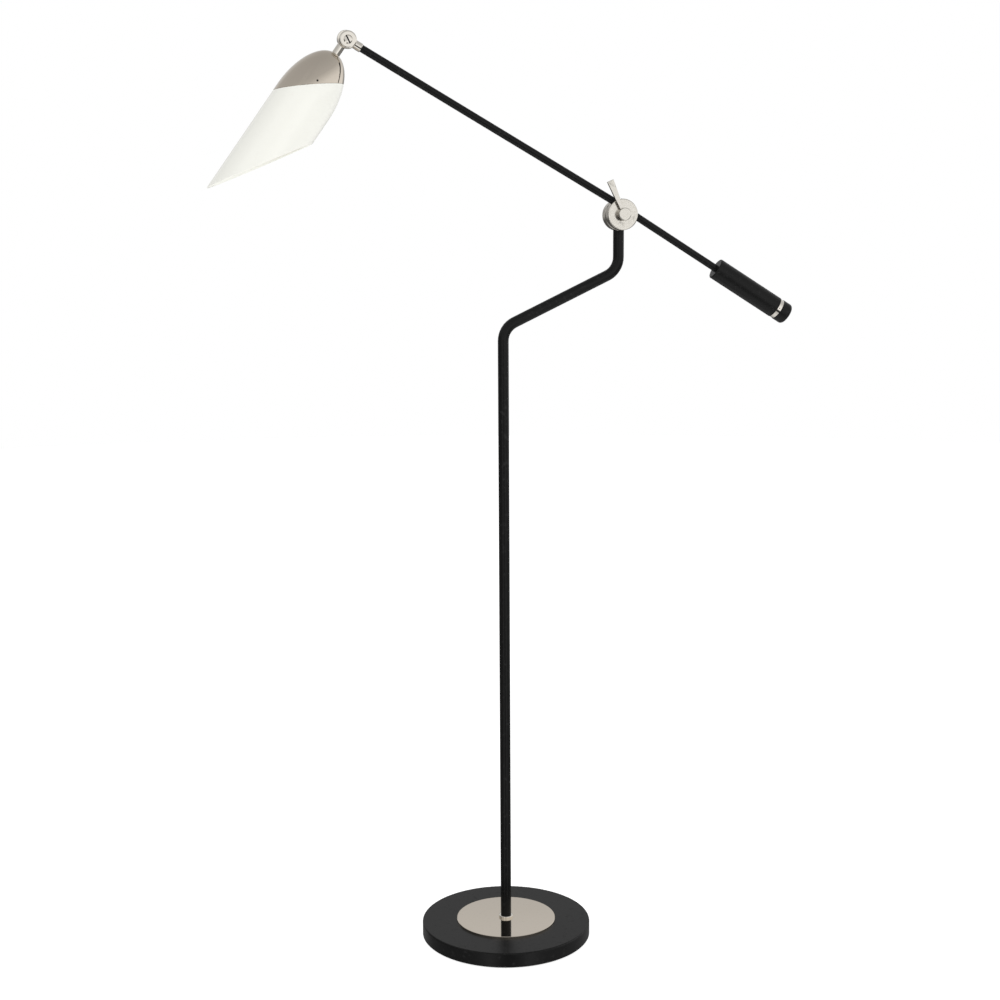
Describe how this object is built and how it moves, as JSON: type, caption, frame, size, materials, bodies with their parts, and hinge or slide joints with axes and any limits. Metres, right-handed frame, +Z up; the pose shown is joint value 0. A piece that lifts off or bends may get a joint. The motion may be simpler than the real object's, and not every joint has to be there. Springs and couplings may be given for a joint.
{
  "type": "floor lamp",
  "caption": "Floor lamp with a round weighted base, cranked post, counterweighted tilting arm on a lever-locked disc clutch, and a slant-cut opal glass shade under a metal dome.",
  "frame": {"origin": "centre of the underside of the round base, on the floor", "axes": "+Z up along the lower post, +X from the post toward the clutch and the counterweight, -Y toward the front, the side with the lever"},
  "size_m": [0.8864, 0.2685, 1.3956],
  "materials": {
    "powder_black": "satin black powder coat",
    "nickel_polished": "polished nickel plate",
    "nickel_satin": "fine satin nickel plate",
    "steel": "plain zinc plated steel",
    "screw_dark": "black oxide",
    "brass_plain": "plain brass",
    "opal_glass": "glossy opal white glass",
    "bulb_frosted": "frosted white",
    "bulb_metal": "bare",
    "holder_porcelain": "white glaze",
    "felt": "matt black foam rubber",
    "bushing_rubber": "matt black",
    "friction_fibre": "matt black fibre",
    "lead_jacket": "matt black jacket"
  },
  "bodies": {
    "stand": {"base_pad": "felt", "base_disc": "powder_black", "inlay_plate": "nickel_polished", "foot_collar": "nickel_polished", "base_nipple": "steel", "base_washer": "steel", "base_nut": "steel", "inlet_bushing": "bushing_rubber", "post": "powder_black", "post_lead": "lead_jacket", "post_plug": "steel", "clutch_rear": "nickel_satin", "friction_washer": "friction_fibre", "clutch_bolt": "nickel_satin"},
    "clamp": {"lever_hub": "nickel_satin", "lever_bar": "nickel_satin"},
    "arm": {"clutch_front": "nickel_satin", "arm_tube": "powder_black", "arm_lead": "lead_jacket", "tail_rod": "powder_black", "weight_barrel": "powder_black", "weight_ring": "nickel_polished", "weight_cap": "powder_black", "arm_set_screws": "screw_dark", "knuckle_front": "nickel_polished"},
    "head": {"knuckle_rear": "nickel_polished", "knuckle_washer": "friction_fibre", "pivot_screw": "nickel_polished", "shade_cap": "nickel_polished", "shade_glass": "opal_glass", "glass_sleeve": "steel", "cap_screws": "screw_dark", "stem_nut": "brass_plain", "holder_cup": "holder_porcelain", "holder_shell": "brass_plain", "holder_contact": "brass_plain", "bulb_base": "bulb_metal", "bulb_glass": "bulb_frosted", "head_lead": "lead_jacket"}
  },
  "joints": [
    {"name": "arm_tilt", "type": "hinge", "parent": "stand", "child": "arm", "pos_m": [0.1795, 0, 1.1344], "axis": [0, 1, 0], "range_deg": [-50, 55]},
    {"name": "head_tilt", "type": "hinge", "parent": "arm", "child": "head", "pos_m": [-0.22937, -0.0194, 1.38126], "axis": [0, 1, 0], "range_deg": [-35, 80]},
    {"name": "clamp_lever", "type": "hinge", "parent": "stand", "child": "clamp", "pos_m": [0.1795, 0, 1.1344], "axis": [0, 1, 0], "range_deg": [-30, 90]}
  ]
}
